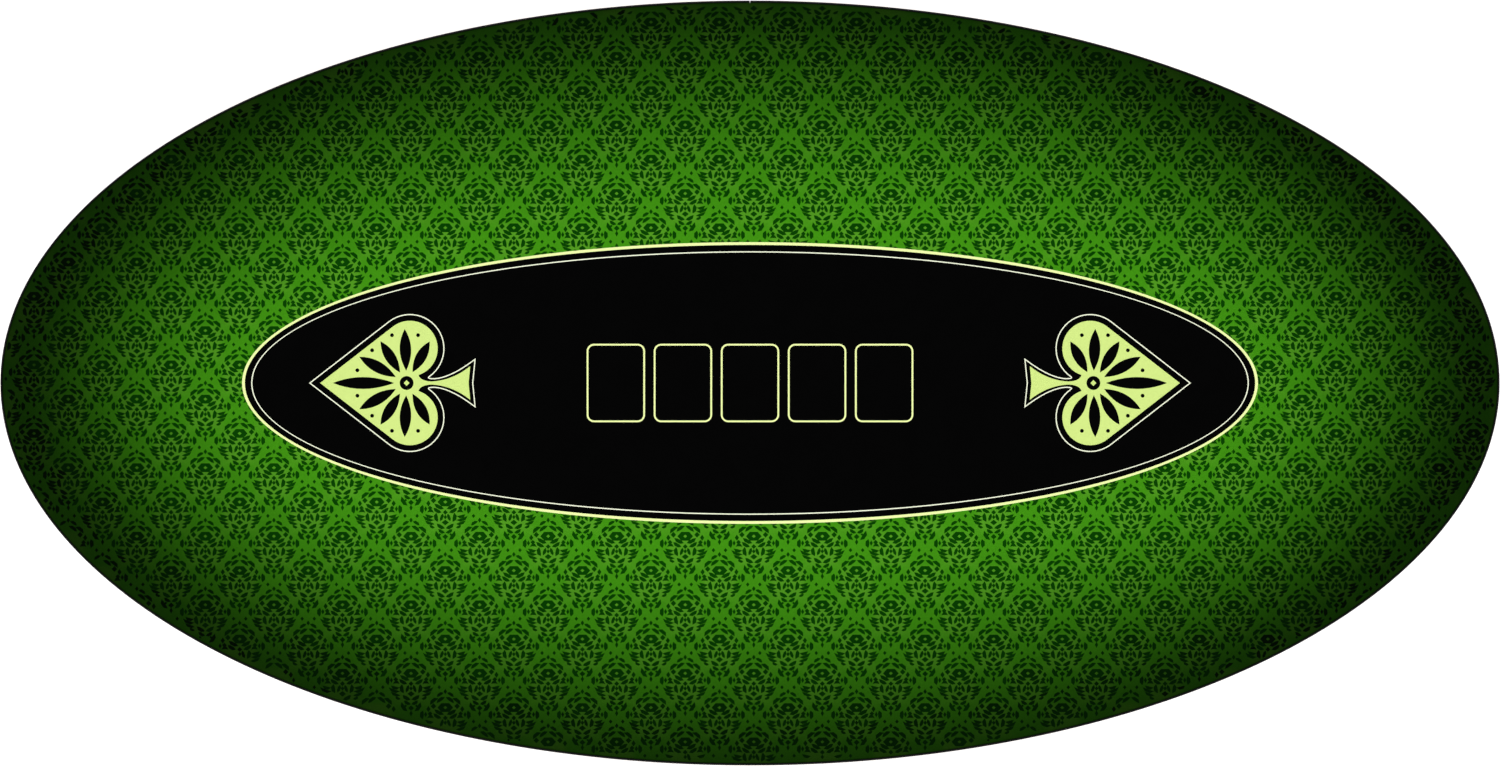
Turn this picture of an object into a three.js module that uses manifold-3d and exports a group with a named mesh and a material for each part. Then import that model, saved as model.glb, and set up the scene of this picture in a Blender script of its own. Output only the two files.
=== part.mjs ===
// An oval poker table on two folding leg frames, in millimetres, +Z up, feet on z = 0.
// +X runs along the length of the top. "front" is -Y and "back" is +Y.
// Leg frame "a" stands under the +X end. Frame "b" is the same frame turned half round, under the -X end.
import * as THREE from 'three';
import { mergeVertices } from 'three/addons/utils/BufferGeometryUtils.js';
import Module from 'manifold-3d';

const wasm = await Module();
wasm.setup();

// ---- driving dimensions ----
const LENGTH = 1830;
const WIDTH = 934;
const HEIGHT = 760;
const GAP = 0.3;                 // air between touching pieces

const CLOTH_THICK = 1.5;
const FOAM_THICK = 8;
const PANEL_THICK = 18;
const MOULDING_THICK = 2.6;
const MOULDING_DROP = 1.5;       // top of the moulding below the cloth
const MOULDING_LIP = 1;          // bottom of the moulding below the panel
const MOULDING_ROUND = 2;        // height of the rounding at its edges
const GROOVE_DEPTH = 14;
const GROOVE_HEIGHT = 4;
const TONGUE_HALF = 0.9;         // half the moulding's tongue, between its barbs
const BARB_HALF = 1.6;
const BARB_PITCH = 4;
const SHOULDER = 5;              // rounding of the padded edge
const SKIRT_CLEARANCE = 1;       // edge of the cloth above the groove
const OVAL_STEPS = 96;

const RAIL_Y = 370;              // stiffening rails, centre line to centre of the rail
const RAIL_LENGTH = 920;
const RAIL_WIDE = 24;
const RAIL_TALL = 30;
const RAIL_CHAMFER = 4;

const PIVOT_X = 600;             // leg hinges from the middle of the table
const PIVOT_DROP = 38;           // pivot axis below the panel
const STAGGER = 20;              // each frame sits this far off centre, so that the two nest when folded
const LEG_SPACING = 524;         // centre to centre of one frame's legs
const SPLAY = THREE.MathUtils.degToRad(4);
const FOLD = THREE.MathUtils.degToRad(94);
const LEG_RADIUS = 16;
const PIVOT_RADIUS = 12.5;
const CROSSBAR_RADIUS = 10;
const TUBE_WALL = 1.5;
const PIVOT_TUBE_END = 7;        // pivot tube past the bracket's cheek
const UPPER_CROSSBAR = 190;      // down the leg from the pivot
const LOWER_CROSSBAR = 430;

const FOOT_RADIUS = 19;
const FOOT_TALL = 38;
const FOOT_SOLE = 5;
const FOOT_TRIM = 4;             // rubber beyond the floor, before the sole is cut level

const PLATE = 3;                 // steel plate of brackets and lugs
const BRACKET_INSET = 8;         // leg surface to bracket plate
const BRACKET_HALF = 28;         // pivot bracket, from its middle to each end
const BRACKET_WIDE = 34;         // its flange, across the table
const BRACKET_EAR = 21;          // its cheek round the bush
const BRACKET_DROP = 46;         // lowest point of its cheek below the pivot axis
const STOP_WIDE = 22;            // the tab that stops the open leg
const STOP_TALL = 18;
const STOP_DROP = 33;            // middle of the tab below the pivot axis
const BUSH_WALL = 2.2;
const BUSH_LIP = 3;
const BUSH_FLANGE = 2;
const RUNNING_FIT = 0.4;         // radial air in a turning joint

const BRACE_ANCHOR_X = 300;      // brace bracket pin, inwards from the leg pivot
const BRACE_OFFSET = 20;         // brace pins above the pivot axis, and off the crossbar
const BRACE_CHEEK = 9;           // brace bracket cheek to the brace's centre plane
const BRACE_PLATE = 66;          // length of the brace bracket's flange
const BRACE_EAR = 9;             // rounding of its cheeks round the pin
const BRACE_CHEEK_HALF = 14;     // half the width of its cheeks at the flange
const LUG_EAR = 17;              // the brace lug round the crossbar
const LUG_TIP = 9;               // and round its pin
const LINK_RADIUS = 8;
const LINK_THICK = 4;
const LINK_PLANE = 3.5;          // each link's middle, to its own side of the brace's centre plane
const LINK_SLACK = 0.02;         // lets the elbow pass dead centre
const PIN_RADIUS = 3;
const PIN_HEAD = 5;
const PIN_HEAD_TALL = 0.9;
const CUTTER = 30;               // reach of the drills that pass right through a plate

const SCREW_SHANK = 2;
const SCREW_HEAD = 4.4;
const SCREW_HEAD_TALL = 2.6;
const SCREW_LENGTH = 15;
const SCREW_POINT = 3;
const BRACKET_SCREW_X = 17;      // either side of the pivot
const BRACKET_SCREW_INSET = 18;  // from the cheek, towards the table's middle line
const BRACE_SCREW_X = 24;        // either side of the brace bracket's pin

// ---- heights that follow ----
const CLOTH_TOP = HEIGHT;
const FOAM_TOP = CLOTH_TOP - CLOTH_THICK - GAP;
const PANEL_TOP = FOAM_TOP - FOAM_THICK - GAP;
const PANEL_BOTTOM = PANEL_TOP - PANEL_THICK;
const PIVOT_Z = PANEL_BOTTOM - PIVOT_DROP;
const LEG_LENGTH = PIVOT_Z / Math.cos(SPLAY);
const LEG_Y = LEG_SPACING / 2;
const BRACKET_Y = LEG_Y + LEG_RADIUS + BRACKET_INSET;
const BRACKET_TOP = PIVOT_DROP - GAP;
const BRACKET_SCREW_Y = BRACKET_Y - BRACKET_SCREW_INSET;
const LUG_PLANE = LINK_PLANE + LINK_THICK / 2 + 1;
const SPLAY_DEGREES = THREE.MathUtils.radToDeg(SPLAY);
const CLOTH_INSET = MOULDING_THICK + GAP;
const FOAM_INSET = CLOTH_INSET + CLOTH_THICK + GAP;
const GROOVE_MIDDLE = (PANEL_TOP + PANEL_BOTTOM) / 2;

// ---- materials ----
function material(colour, roughness, metalness) {
  return () => new THREE.MeshStandardMaterial({ color: colour, roughness, metalness });
}
const greenCloth = material(0x2f7d10, 0.9, 0);
const foamRubber = material(0x55585a, 0.95, 0);
const plywood = material(0xc79a62, 0.7, 0);
const blackVinyl = material(0x0b0b0c, 0.45, 0);
const rawTimber = material(0xb98a55, 0.75, 0);
const blackSteel = material(0x141416, 0.42, 0.3);
const zincSteel = material(0xa9adb0, 0.35, 0.9);
const whiteNylon = material(0xe4e0d4, 0.5, 0);
const blackRubber = material(0x171717, 0.85, 0);

// ---- solids and booleans ----
function toSolid(geometry) {
  const bare = geometry.clone();
  bare.deleteAttribute('normal');
  bare.deleteAttribute('uv');
  const merged = mergeVertices(bare, 1e-4);
  return new wasm.Manifold(new wasm.Mesh({
    numProp: 3,
    vertProperties: new Float32Array(merged.attributes.position.array),
    triVerts: new Uint32Array(merged.index.array),
  }));
}

function toGeometry(solid) {
  const mesh = solid.getMesh();
  const geometry = new THREE.BufferGeometry();
  geometry.setAttribute('position', new THREE.BufferAttribute(mesh.vertProperties, 3));
  geometry.setIndex(new THREE.BufferAttribute(mesh.triVerts, 1));
  geometry.computeVertexNormals();
  return geometry;
}

function joined(first, ...rest) {
  return rest.reduce((sum, solid) => sum.add(solid), first);
}

function cut(first, ...rest) {
  return rest.reduce((left, solid) => left.subtract(solid), first);
}

// A closed turned shape. The profile is [radius, height] pairs, and it stands on +Z.
function turned(profile, steps = 24) {
  const points = profile.map(([radius, height]) => new THREE.Vector2(radius, height));
  const geometry = new THREE.LatheGeometry(points, steps);
  geometry.rotateX(Math.PI / 2);
  return toSolid(geometry);
}

function rod(radius, from, to, steps = 24) {
  return turned([[0, from], [radius, from], [radius, to], [0, to]], steps);
}

function tube(radius, wall, from, to, steps = 24) {
  const inner = radius - wall;
  return turned([[inner, from], [radius, from], [radius, to], [inner, to], [inner, from]], steps);
}

// The same turned shapes, laid along +Y.
function alongY(solid) {
  return solid.rotate([-90, 0, 0]);
}

function block(sizeX, sizeY, sizeZ, x, y, z) {
  const geometry = new THREE.BoxGeometry(sizeX, sizeY, sizeZ);
  geometry.translate(x, y, z);
  return toSolid(geometry);
}

// A flat plate square to Y. The shape is drawn in x and z, and fills y from "from" to "to".
function plateXZ(shape, from, to, curveSegments = 12) {
  const geometry = new THREE.ExtrudeGeometry(shape, { depth: to - from, bevelEnabled: false, curveSegments });
  geometry.rotateX(Math.PI / 2);
  geometry.translate(0, to, 0);
  return toSolid(geometry);
}

// An outline with two round ends of the same radius, from (x0, z0) to (x1, z1).
function stadium(x0, z0, x1, z1, radius) {
  const angle = Math.atan2(z1 - z0, x1 - x0);
  const shape = new THREE.Shape();
  shape.absarc(x1, z1, radius, angle - Math.PI / 2, angle + Math.PI / 2, false);
  shape.absarc(x0, z0, radius, angle + Math.PI / 2, angle + Math.PI * 1.5, false);
  shape.closePath();
  return shape;
}

// ---- the oval ----
// A point of the outline, moved inwards along its normal.
function ovalPoint(step, inset) {
  const angle = (step / OVAL_STEPS) * Math.PI * 2;
  const a = LENGTH / 2;
  const b = WIDTH / 2;
  const normal = new THREE.Vector2(Math.cos(angle) / a, Math.sin(angle) / b).normalize();
  return new THREE.Vector2(
    a * Math.cos(angle) - normal.x * inset,
    b * Math.sin(angle) - normal.y * inset,
  );
}

// Carries a profile of [inset, height] pairs round the oval. A slab has a flat top and bottom that meet
// the profile's first and last points, and a ring's profile closes on itself.
function ovalSweep(profile, isSlab) {
  const positions = [];
  for (let step = 0; step < OVAL_STEPS; step += 1) {
    for (const [inset, height] of profile) {
      const point = ovalPoint(step, inset);
      positions.push(point.x, point.y, height);
    }
  }
  const count = profile.length;
  const bands = isSlab ? count - 1 : count;
  const index = [];
  for (let step = 0; step < OVAL_STEPS; step += 1) {
    const here = step * count;
    const next = ((step + 1) % OVAL_STEPS) * count;
    for (let band = 0; band < bands; band += 1) {
      const above = band;
      const below = (band + 1) % count;
      index.push(here + above, here + below, next + below);
      index.push(here + above, next + below, next + above);
    }
  }
  if (isSlab) {
    const topCentre = positions.length / 3;
    positions.push(0, 0, profile[0][1]);
    positions.push(0, 0, profile[count - 1][1]);
    for (let step = 0; step < OVAL_STEPS; step += 1) {
      const here = step * count;
      const next = ((step + 1) % OVAL_STEPS) * count;
      index.push(topCentre, here, next);
      index.push(topCentre + 1, next + count - 1, here + count - 1);
    }
  }
  const geometry = new THREE.BufferGeometry();
  geometry.setAttribute('position', new THREE.Float32BufferAttribute(positions, 3));
  geometry.setIndex(index);
  geometry.computeVertexNormals();
  return geometry;
}

// A quarter-round shoulder from the flat top to the side, as [inset, height] pairs.
function shoulder(inset, top, radius) {
  const pairs = [];
  const steps = 4;
  for (let step = 0; step <= steps; step += 1) {
    const angle = (step / steps) * Math.PI / 2;
    pairs.push([inset + radius * (1 - Math.sin(angle)), top - radius * (1 - Math.cos(angle))]);
  }
  return pairs;
}

// ---- the top ----
function playingCloth() {
  const skirtBottom = GROOVE_MIDDLE + GROOVE_HEIGHT / 2 + SKIRT_CLEARANCE;
  const outside = shoulder(CLOTH_INSET, CLOTH_TOP, SHOULDER);
  const inside = shoulder(CLOTH_INSET + CLOTH_THICK, CLOTH_TOP - CLOTH_THICK, SHOULDER - CLOTH_THICK);
  return ovalSweep([
    ...outside,
    [CLOTH_INSET, skirtBottom],
    [CLOTH_INSET + CLOTH_THICK, skirtBottom],
    ...inside.reverse(),
  ], true);
}

function foamPad() {
  const edge = shoulder(FOAM_INSET, FOAM_TOP, SHOULDER - CLOTH_THICK - GAP);
  return ovalSweep([...edge, [FOAM_INSET, PANEL_TOP + GAP]], true);
}

function topPanel(screwHoles) {
  const grooveTop = GROOVE_MIDDLE + GROOVE_HEIGHT / 2;
  const grooveBottom = GROOVE_MIDDLE - GROOVE_HEIGHT / 2;
  const board = toSolid(ovalSweep([
    [FOAM_INSET, PANEL_TOP],
    [FOAM_INSET, grooveTop],
    [FOAM_INSET + GROOVE_DEPTH, grooveTop],
    [FOAM_INSET + GROOVE_DEPTH, grooveBottom],
    [FOAM_INSET, grooveBottom],
    [FOAM_INSET, PANEL_BOTTOM],
  ], true));
  return toGeometry(cut(board, ...screwHoles));
}

// A T-shaped strip: a rounded face outside, and a barbed tongue in the panel's groove.
function edgeMoulding() {
  const top = CLOTH_TOP - MOULDING_DROP;
  const bottom = PANEL_BOTTOM - MOULDING_LIP;
  const root = FOAM_INSET + 2;
  const tip = FOAM_INSET + GROOVE_DEPTH - 1.5;
  const face = [
    [MOULDING_THICK / 2, top],
    [0.3, top - 0.7],
    [0, top - MOULDING_ROUND],
    [0, bottom + MOULDING_ROUND],
    [0.3, bottom + 0.7],
    [MOULDING_THICK / 2, bottom],
    [MOULDING_THICK, bottom],
  ];
  const halfTongue = [
    [MOULDING_THICK, TONGUE_HALF],
    [root, TONGUE_HALF],
    [root, BARB_HALF],
    [root + BARB_PITCH, TONGUE_HALF],
    [root + BARB_PITCH, BARB_HALF],
    [root + BARB_PITCH * 2, TONGUE_HALF],
  ];
  const lower = halfTongue.map(([inset, half]) => [inset, GROOVE_MIDDLE - half]);
  const upper = halfTongue.map(([inset, half]) => [inset, GROOVE_MIDDLE + half]);
  const profile = [...face, ...lower, [tip, GROOVE_MIDDLE], ...upper.reverse(), [MOULDING_THICK, top]];
  return ovalSweep(profile, false);
}

function stiffenerRail() {
  const shape = new THREE.Shape();
  shape.moveTo(-RAIL_LENGTH / 2, 0);
  shape.lineTo(-RAIL_LENGTH / 2 + RAIL_TALL, -RAIL_TALL);
  shape.lineTo(RAIL_LENGTH / 2 - RAIL_TALL, -RAIL_TALL);
  shape.lineTo(RAIL_LENGTH / 2, 0);
  shape.closePath();
  const bar = plateXZ(shape, -RAIL_WIDE / 2, RAIL_WIDE / 2);
  const edge = block(RAIL_LENGTH * 1.1, RAIL_CHAMFER, RAIL_CHAMFER, 0, 0, 0).rotate([45, 0, 0]);
  const corners = [-1, 1].map((side) => edge.translate([0, side * RAIL_WIDE / 2, -RAIL_TALL]));
  return toGeometry(cut(bar, ...corners));
}

// ---- screws ----
// A pan-head wood screw, head down, with its head's seat at z = 0.
function screw() {
  const dome = [];
  const steps = 4;
  for (let step = 0; step <= steps; step += 1) {
    const angle = (step / steps) * Math.PI / 2;
    dome.push([SCREW_HEAD * Math.sin(angle), -SCREW_HEAD_TALL * Math.cos(angle)]);
  }
  return toGeometry(turned([
    ...dome,
    [SCREW_SHANK, 0],
    [SCREW_SHANK, SCREW_LENGTH - SCREW_POINT],
    [0, SCREW_LENGTH],
  ], 12));
}

// ---- leg frame, about its pivot: +X points away from the table's middle, legs hang down -Z ----
function legTube() {
  const bottom = LEG_LENGTH - FOOT_SOLE - GAP - LEG_RADIUS * Math.tan(SPLAY);
  const whole = tube(LEG_RADIUS, TUBE_WALL, -bottom, -2);
  const saddle = alongY(rod(PIVOT_RADIUS + GAP, -LEG_RADIUS * 2, LEG_RADIUS * 2, 32));
  return toGeometry(cut(whole, saddle));
}

function pivotTube() {
  const half = BRACKET_Y + PLATE + PIVOT_TUBE_END;
  return toGeometry(alongY(tube(PIVOT_RADIUS, TUBE_WALL, -half, half, 32)));
}

function crossbar(down) {
  const whole = alongY(tube(CROSSBAR_RADIUS, TUBE_WALL, -LEG_Y, LEG_Y)).translate([0, 0, -down]);
  const reach = CROSSBAR_RADIUS * 4;
  const legs = [-1, 1].map((side) => (
    rod(LEG_RADIUS + GAP, -down - reach, -down + reach).translate([0, side * LEG_Y, 0])
  ));
  return toGeometry(cut(whole, ...legs));
}

// A rubber cup over the end of the leg. Its sole is cut level with the floor.
function footCup() {
  const bottom = -LEG_LENGTH - FOOT_TRIM;
  const top = -LEG_LENGTH + FOOT_TALL;
  const seat = -LEG_LENGTH + FOOT_SOLE + LEG_RADIUS * Math.tan(SPLAY);
  const bore = LEG_RADIUS + GAP;
  const cup = turned([
    [0, bottom],
    [FOOT_RADIUS, bottom],
    [FOOT_RADIUS, top - 2],
    [FOOT_RADIUS - 1, top],
    [bore, top],
    [bore, seat],
    [0, seat],
  ]);
  const ground = block(FOOT_RADIUS * 8, FOOT_RADIUS * 8, 100, 0, 0, -50).translate([0, 0, -PIVOT_Z]);
  return toGeometry(cut(cup, ground.rotate([0, SPLAY_DEGREES, 0])));
}

// ---- pivot brackets ----
// The outline of the cheek that holds the bush, with a toe that backs the stop tab.
function pivotCheek() {
  const cheek = new THREE.Shape();
  cheek.moveTo(-BRACKET_HALF, BRACKET_TOP);
  cheek.lineTo(-BRACKET_HALF, BRACKET_HALF / 2);
  cheek.absarc(0, 0, BRACKET_EAR, Math.PI * 0.83, Math.PI * 1.5, false);
  cheek.lineTo(BRACKET_HALF - 4, -BRACKET_DROP);
  cheek.lineTo(BRACKET_HALF - 1, -BRACKET_DROP + 2);
  cheek.lineTo(BRACKET_HALF, BRACKET_TOP);
  cheek.closePath();
  return cheek;
}

// A folded plate: a flange under the panel, a cheek that holds the bush, and a tab that stops the open leg.
function pivotBracket() {
  const back = BRACKET_Y + PLATE;
  const plate = plateXZ(pivotCheek(), BRACKET_Y, back);
  const hole = alongY(rod(PIVOT_RADIUS + RUNNING_FIT + BUSH_WALL + GAP, 0, BRACKET_Y * 2, 32));
  const flangeY = back - BRACKET_WIDE / 2;
  const flange = block(BRACKET_HALF * 2, BRACKET_WIDE, PLATE, 0, flangeY, BRACKET_TOP - PLATE / 2);
  const screwHoles = [-1, 1].map((side) => (
    rod(SCREW_SHANK + GAP, 0, BRACKET_TOP * 2, 12).translate([side * BRACKET_SCREW_X, BRACKET_SCREW_Y, 0])
  ));
  const stopX = LEG_RADIUS + GAP + PLATE / 2;
  const stop = block(PLATE, STOP_WIDE, STOP_TALL, stopX, back - STOP_WIDE / 2, -STOP_DROP);
  const leaningStop = stop.rotate([0, -SPLAY_DEGREES, 0]);
  return toGeometry(joined(cut(plate, hole), cut(flange, ...screwHoles), leaningStop));
}

// A flanged nylon bearing in the cheek.
function pivotBush() {
  const bore = PIVOT_RADIUS + RUNNING_FIT;
  const body = bore + BUSH_WALL;
  const inner = BRACKET_Y - GAP;
  const outer = BRACKET_Y + PLATE + BUSH_LIP;
  const profile = [
    [bore, inner - BUSH_FLANGE],
    [body + BUSH_LIP, inner - BUSH_FLANGE],
    [body + BUSH_LIP, inner],
    [body, inner],
    [body, outer],
    [bore, outer],
    [bore, inner - BUSH_FLANGE],
  ];
  return toGeometry(alongY(turned(profile, 32)));
}

// ---- brace: two flat links that fold at an elbow ----
// Points of the brace, as (x, z) about the leg's pivot.
function turnedBy(point, angle) {
  return point.clone().rotateAround(new THREE.Vector2(0, 0), angle);
}

// The corner of a triangle on the line from "from" to "to", to the left when side is 1.
function corner(from, to, fromSide, toSide, side) {
  const span = to.clone().sub(from);
  const reach = span.length();
  const cosine = (fromSide ** 2 + reach ** 2 - toSide ** 2) / (2 * fromSide * reach);
  const angle = span.angle() + side * Math.acos(THREE.MathUtils.clamp(cosine, -1, 1));
  return from.clone().add(new THREE.Vector2(fromSide * Math.cos(angle), fromSide * Math.sin(angle)));
}

function braceGeometry() {
  const anchor = new THREE.Vector2(-BRACE_ANCHOR_X, BRACE_OFFSET);
  const lug = turnedBy(new THREE.Vector2(-BRACE_OFFSET, -UPPER_CROSSBAR), SPLAY);
  const lugFolded = turnedBy(lug, -FOLD);
  const openSpan = lug.distanceTo(anchor);
  const foldedSpan = lugFolded.distanceTo(anchor);
  const upper = (openSpan + foldedSpan) / 2;
  const lower = (openSpan - foldedSpan) / 2 + LINK_SLACK;
  const elbow = corner(anchor, lug, upper, lower, -1);
  const elbowFolded = corner(anchor, lugFolded, upper, lower, 1);
  return { anchor, lug, lugFolded, elbow, elbowFolded };
}
const BRACE = braceGeometry();

function link(from, to, plane) {
  const shape = stadium(from.x, from.y, to.x, to.y, LINK_RADIUS);
  const bar = plateXZ(shape, plane - LINK_THICK / 2, plane + LINK_THICK / 2);
  const pinHoles = [from, to].map((point) => (
    alongY(rod(PIN_RADIUS + RUNNING_FIT, -CUTTER, CUTTER, 16)).translate([point.x, 0, point.y])
  ));
  return toGeometry(cut(bar, ...pinHoles));
}

// Half of the elbow's rivet, in the link on the -Y side: a head outside, a shoulder towards the other link.
function elbowRivet() {
  const face = LINK_PLANE + LINK_THICK / 2;
  const back = LINK_PLANE - LINK_THICK / 2;
  return alongY(turned([
    [0, -face - 2.6],
    [3.5, -face - 2.2],
    [5.5, -face - 0.8],
    [5.5, -face - GAP],
    [PIN_RADIUS, -face - GAP],
    [PIN_RADIUS, -back + GAP],
    [6, -back + GAP],
    [6, -GAP / 2],
    [0, -GAP / 2],
  ], 12));
}

// A channel under the panel with a pin through its cheeks.
function braceBracket() {
  const wide = (BRACE_CHEEK + PLATE) * 2;
  const flange = block(BRACE_PLATE, wide, PLATE, 0, 0, BRACKET_TOP - PLATE / 2);
  const screwHoles = [-1, 1].map((side) => (
    rod(SCREW_SHANK + GAP, 0, BRACKET_TOP * 2, 12).translate([side * BRACE_SCREW_X, 0, 0])
  ));
  const cheek = new THREE.Shape();
  cheek.moveTo(-BRACE_CHEEK_HALF, BRACKET_TOP);
  cheek.lineTo(-BRACE_EAR, BRACE_OFFSET);
  cheek.absarc(0, BRACE_OFFSET, BRACE_EAR, Math.PI, Math.PI * 2, false);
  cheek.lineTo(BRACE_CHEEK_HALF, BRACKET_TOP);
  cheek.closePath();
  const pinHole = alongY(rod(PIN_RADIUS + GAP, -CUTTER, CUTTER, 16)).translate([0, 0, BRACE_OFFSET]);
  const cheeks = [-1, 1].map((side) => {
    const near = side * BRACE_CHEEK;
    const far = side * (BRACE_CHEEK + PLATE);
    return cut(plateXZ(cheek, Math.min(near, far), Math.max(near, far)), pinHole);
  });
  return toGeometry(joined(cut(flange, ...screwHoles), ...cheeks));
}

// The spread end of a pin, from its seat outwards.
function spreadEnd(seat) {
  return [
    [PIN_RADIUS, seat],
    [4.6, seat],
    [4.2, seat + 1.6],
    [0, seat + 2],
  ];
}

// The pin of the brace bracket, with a head at one end and a spread end at the other.
function anchorPin() {
  const out = BRACE_CHEEK + PLATE + GAP;
  return toGeometry(alongY(turned([
    [0, -out - 2.5],
    [PIN_HEAD, -out - 2],
    [PIN_HEAD + 0.5, -out],
    [PIN_RADIUS, -out],
    ...spreadEnd(out),
  ], 16)));
}

// An ear on the upper crossbar that carries the lower link's pin.
function braceLug() {
  const outline = new THREE.Shape();
  outline.absarc(0, -UPPER_CROSSBAR, LUG_EAR, -Math.PI * 0.6, Math.PI * 0.6, false);
  outline.absarc(-BRACE_OFFSET, -UPPER_CROSSBAR, LUG_TIP, Math.PI * 0.6, Math.PI * 1.4, false);
  outline.closePath();
  const ear = plateXZ(outline, LUG_PLANE, LUG_PLANE + PLATE);
  const barHole = alongY(rod(CROSSBAR_RADIUS + GAP, 0, CUTTER)).translate([0, 0, -UPPER_CROSSBAR]);
  const pinHole = alongY(rod(PIN_RADIUS + GAP, 0, CUTTER, 16)).translate([-BRACE_OFFSET, 0, -UPPER_CROSSBAR]);
  return toGeometry(cut(ear, barHole, pinHole));
}

function lugPin() {
  const back = LINK_PLANE - LINK_THICK / 2 - GAP;
  return toGeometry(alongY(turned([
    [0, back - PIN_HEAD_TALL],
    [PIN_HEAD, back - PIN_HEAD_TALL],
    [PIN_HEAD, back],
    [PIN_RADIUS, back],
    ...spreadEnd(LUG_PLANE + PLATE + GAP),
  ], 16)).translate([-BRACE_OFFSET, 0, -UPPER_CROSSBAR]));
}

// ---- assembly ----
const group = new THREE.Group();

function place(parent, name, geometry, makeMaterial) {
  const mesh = new THREE.Mesh(geometry, makeMaterial());
  mesh.name = name;
  parent.add(mesh);
  return mesh;
}

// The sides of one frame: the "outer" leg is the one nearer the table's edge.
const SIDES = [['outer', 1], ['inner', -1]];

// Screw places under one frame's brackets, about the frame's pivot.
const SCREWS = [
  ...SIDES.flatMap(([side, sign]) => [1, 2].map((number) => ({
    name: `bracket_screw_${side}_${number}`,
    x: (number * 2 - 3) * BRACKET_SCREW_X,
    y: sign * BRACKET_SCREW_Y,
  }))),
  ...[1, 2].map((number) => ({
    name: `brace_screw_${number}`,
    x: -BRACE_ANCHOR_X + (number * 2 - 3) * BRACE_SCREW_X,
    y: 0,
  })),
];

function panelScrewHoles() {
  const holes = [];
  for (const turn of [1, -1]) {
    for (const { x, y } of SCREWS) {
      const hole = rod(SCREW_SHANK + GAP, PANEL_BOTTOM - 5, PANEL_BOTTOM + SCREW_LENGTH, 12);
      holes.push(hole.translate([turn * (PIVOT_X + x), turn * (STAGGER + y), 0]));
    }
  }
  return holes;
}

function addTop() {
  place(group, 'top_panel', topPanel(panelScrewHoles()), plywood);
  place(group, 'foam_pad', foamPad(), foamRubber);
  place(group, 'playing_cloth', playingCloth(), greenCloth);
  place(group, 'edge_moulding', edgeMoulding(), blackVinyl);
  for (const [name, side] of [['front', -1], ['back', 1]]) {
    const rail = place(group, `stiffener_rail_${name}`, stiffenerRail(), rawTimber);
    rail.position.set(0, side * RAIL_Y, PANEL_BOTTOM - GAP);
  }
}

function mirroredInY(geometry) {
  return toGeometry(toSolid(geometry).mirror([0, 1, 0]));
}

// Pieces that stay on the panel, about the frame's pivot.
function addFixings(fixed, end) {
  for (const [side, sign] of SIDES) {
    const hand = sign > 0 ? (geometry) => geometry : mirroredInY;
    place(fixed, `pivot_bracket_${side}_${end}`, hand(pivotBracket()), zincSteel);
    place(fixed, `pivot_bush_${side}_${end}`, hand(pivotBush()), whiteNylon);
  }
  place(fixed, `brace_bracket_${end}`, braceBracket(), zincSteel).position.x = -BRACE_ANCHOR_X;
  place(fixed, `brace_bracket_pin_${end}`, anchorPin(), zincSteel)
    .position.set(-BRACE_ANCHOR_X, 0, BRACE_OFFSET);
  for (const { name, x, y } of SCREWS) {
    place(fixed, `${name}_${end}`, screw(), zincSteel).position.set(x, y, BRACKET_TOP - PLATE - GAP);
  }
}

// Pieces that swing with the legs, drawn with the legs straight down.
function addLegs(swinging, end) {
  for (const [side, sign] of SIDES) {
    place(swinging, `leg_tube_${side}_${end}`, legTube(), blackSteel).position.y = sign * LEG_Y;
    place(swinging, `foot_cup_${side}_${end}`, footCup(), blackRubber).position.y = sign * LEG_Y;
  }
  place(swinging, `pivot_tube_${end}`, pivotTube(), blackSteel);
  place(swinging, `crossbar_upper_${end}`, crossbar(UPPER_CROSSBAR), blackSteel);
  place(swinging, `crossbar_lower_${end}`, crossbar(LOWER_CROSSBAR), blackSteel);
  place(swinging, `brace_lug_${end}`, braceLug(), blackSteel);
  place(swinging, `brace_lug_pin_${end}`, lugPin(), zincSteel);
}

function addBrace(fixed, end) {
  const { anchor, elbow, lug } = BRACE;
  place(fixed, `brace_link_upper_${end}`, link(anchor, elbow, -LINK_PLANE), zincSteel);
  place(fixed, `brace_link_lower_${end}`, link(elbow, lug, LINK_PLANE), zincSteel);
  const half = elbowRivet().translate([elbow.x, 0, elbow.y]);
  place(fixed, `elbow_rivet_upper_${end}`, toGeometry(half), zincSteel);
  place(fixed, `elbow_rivet_lower_${end}`, toGeometry(half.mirror([0, 1, 0])), zincSteel);
}

function addFrame(end, turn) {
  const fixed = new THREE.Group();
  fixed.position.set(turn * PIVOT_X, turn * STAGGER, PIVOT_Z);
  fixed.rotation.z = turn > 0 ? 0 : Math.PI;
  group.add(fixed);
  const swinging = new THREE.Group();
  swinging.rotation.y = -SPLAY;
  fixed.add(swinging);
  addFixings(fixed, end);
  addLegs(swinging, end);
  addBrace(fixed, end);
}

addTop();
addFrame('a', 1);
addFrame('b', -1);

export default group;
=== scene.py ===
import math

import bmesh
import bpy
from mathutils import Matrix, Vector
from mathutils.geometry import delaunay_2d_cdt


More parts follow.
